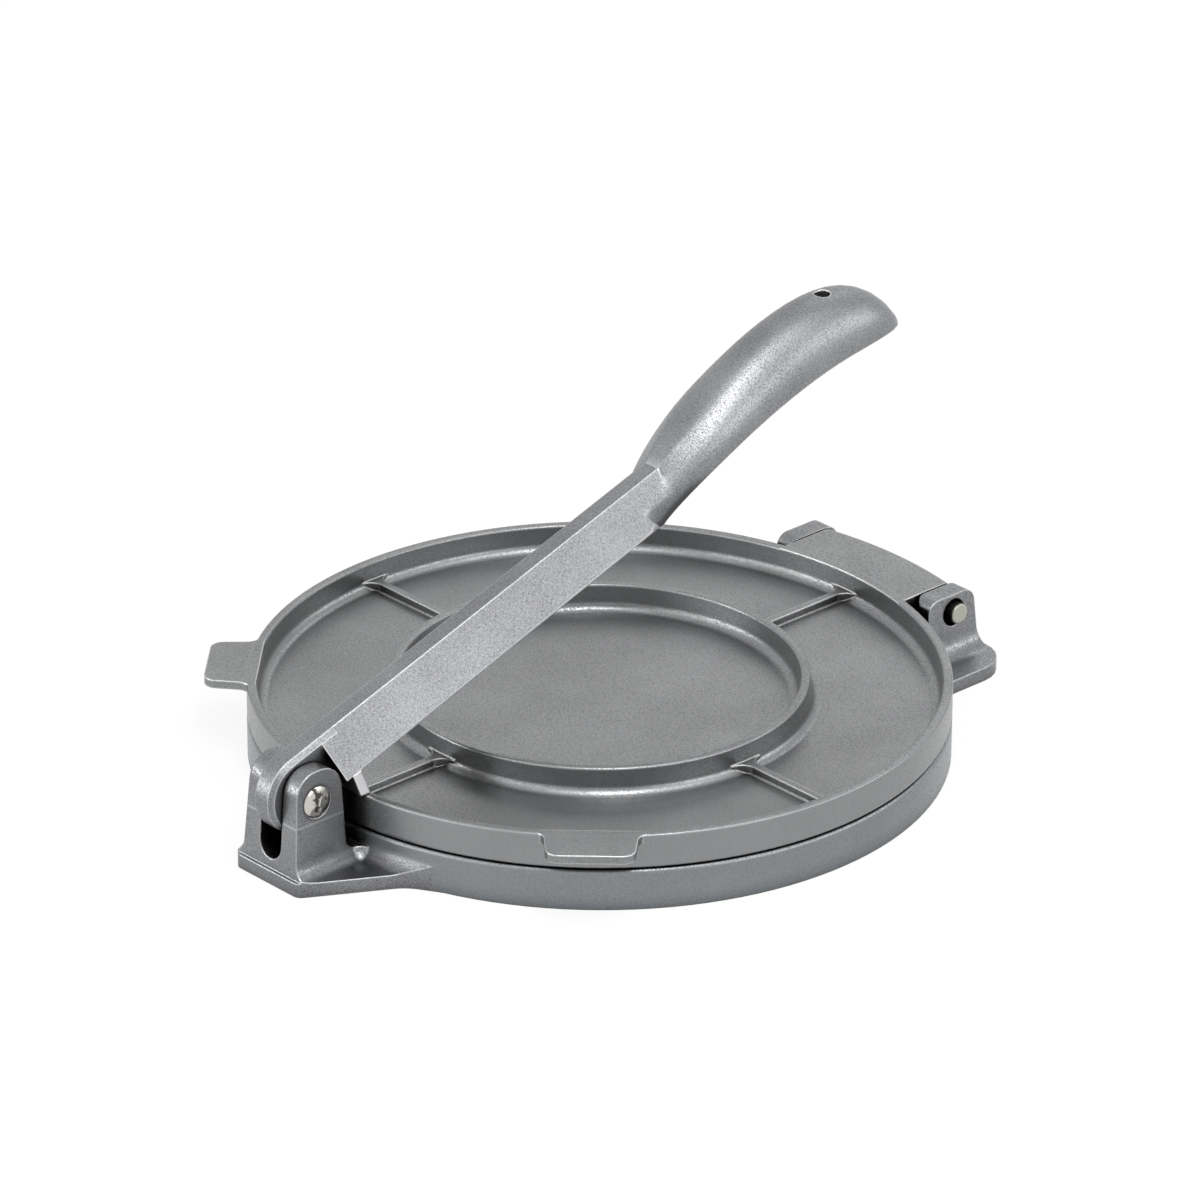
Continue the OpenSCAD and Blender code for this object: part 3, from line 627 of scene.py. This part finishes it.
def hammered_rivet():
    """The rivet as one closed mesh, with a hammered head at each end."""
    form = bmesh.new()
    radii = [HEAD_R * (k + 1) / RINGS_ON_HEAD for k in range(RINGS_ON_HEAD)]
    rows = [ring_of(form, radius, -1, True) for radius in radii]
    for radius, side in ((HEAD_R, -1), (SHANK_R, -1), (SHANK_R, 1), (HEAD_R, 1)):
        rows.append(ring_of(form, radius, side, False))
    rows += [ring_of(form, radius, 1, True) for radius in reversed(radii)]
    for first, second in zip(rows, rows[1:]):
        for k in range(POINTS_ROUND):
            form.faces.new((first[k], first[k - 1], second[k - 1], second[k]))
    form.faces.new(rows[0])
    form.faces.new(rows[-1])
    bmesh.ops.recalc_face_normals(form, faces=form.faces)
    for face in form.faces:
        face.smooth = True
    for edge in form.edges:
        edge.smooth = edge.calc_face_angle(0) < radians(CRISP_DEGREES)
    mesh = bpy.data.meshes.new("hammered_rivet")
    form.to_mesh(mesh)
    form.free()
    made = bpy.data.objects.new("hammered_rivet", mesh)
    scene.collection.objects.link(made)
    return made


rivet = hammered_rivet()
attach(rivet, "lower_plate")
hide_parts("lever_pin")
print(f"rivet with {len(rivet.data.polygons)} faces and {BLOW_COUNT} hammer marks on each head")

# %% [markdown]
# ## Plated steel of the rivet
#
# The rivet is steel with a thin warm plating. The plating stays bright on the flats, and where the
# hammer broke it, dark scale shows in patches of a millimetre or two. The fine scuffs are drawn at a
# third of a millimetre, coarser than real ones, so that they show.

# %% Dress the rivet
SCALE_PATCH_MM = 2.4
SCALE_STARTS, SCALE_FULL = 0.56, 0.62
PLATING_ROUGHNESS, SCALE_ROUGHNESS = 0.22, 0.45
SCUFF_MM = 0.35
STEEL_GRAIN_MM = 0.02

finish, tree = new_finish("plated_rivet_steel")
place = add_node(tree, "ShaderNodeTexCoord").outputs["Object"]
broken = {"Vector": place, "Scale": 1 / (SCALE_PATCH_MM * MM), "Detail": 3}
patches = add_node(tree, "ShaderNodeTexNoise", broken)
flaking = {"Value": patches, "From Min": SCALE_STARTS, "From Max": SCALE_FULL}
scale = add_node(tree, "ShaderNodeMapRange", flaking)
scuffed = {"Vector": place, "Scale": 1 / (SCUFF_MM * MM), "Detail": 2}
scuffs = add_node(tree, "ShaderNodeTexNoise", scuffed)
shades = {"Factor": scale, "A": linear("#C6C3BC"), "B": linear("#4A4743")}
colour = add_node(tree, "ShaderNodeMix", shades, data_type="RGBA")
gloss = {"Value": scale, "To Min": PLATING_ROUGHNESS, "To Max": SCALE_ROUGHNESS}
rough = add_node(tree, "ShaderNodeMapRange", gloss)
bare_metal(tree, colour, rough, scuffs, STEEL_GRAIN_MM)
rivet.data.materials.append(finish)
dress("lever_pin", finish)

# %% [markdown]
# ## Sawn steel of the hinge pin
#
# The hinge pin is a rod sawn to length. Its cut end is a dull warm grey, and its side is a much darker
# grey. The end faces along the pin's own axis, so the X of its normal tells the two apart. The saw's
# marks are drawn a little coarser than real ones, at 0.4 mm.

# %% Dress the hinge pin
SAW_MARK_MM = 0.4
MARK_VALLEY, MARK_RIDGE = 0.35, 0.65
SIDE_ENDS, END_STARTS = 0.5, 0.8
SIDE_ROUGHNESS, SAWN_ROUGHNESS = 0.35, 0.5

finish, tree = new_finish("sawn_pin_steel")
coordinates = add_node(tree, "ShaderNodeTexCoord").outputs
lengthwise = add_node(tree, "ShaderNodeSeparateXYZ", {0: coordinates["Normal"]}).outputs["X"]
facing = add_node(tree, "ShaderNodeMath", {0: lengthwise}, operation="ABSOLUTE")
cut = add_node(tree, "ShaderNodeMapRange", {"Value": facing, "From Min": SIDE_ENDS, "From Max": END_STARTS})
marks = {"Vector": coordinates["Object"], "Scale": 1 / (SAW_MARK_MM * MM), "Detail": 2}
saw = add_node(tree, "ShaderNodeTexNoise", marks)
ridges = {"Value": saw, "From Min": MARK_VALLEY, "From Max": MARK_RIDGE}
worn = add_node(tree, "ShaderNodeMapRange", ridges)
sawn = {"Factor": worn, "A": linear("#A2A398"), "B": linear("#B4B5AA")}
face = add_node(tree, "ShaderNodeMix", sawn, data_type="RGBA")
# The side is mixed to a dark grey, darker than the cut end.
darker_side = {"Factor": cut, "A": linear("#5A5854"), "B": face}
colour = add_node(tree, "ShaderNodeMix", darker_side, data_type="RGBA")
gloss = {"Value": cut, "To Min": SIDE_ROUGHNESS, "To Max": SAWN_ROUGHNESS}
rough = add_node(tree, "ShaderNodeMapRange", gloss)
bare_metal(tree, colour, rough, saw, STEEL_GRAIN_MM)
dress("hinge_pin", finish)
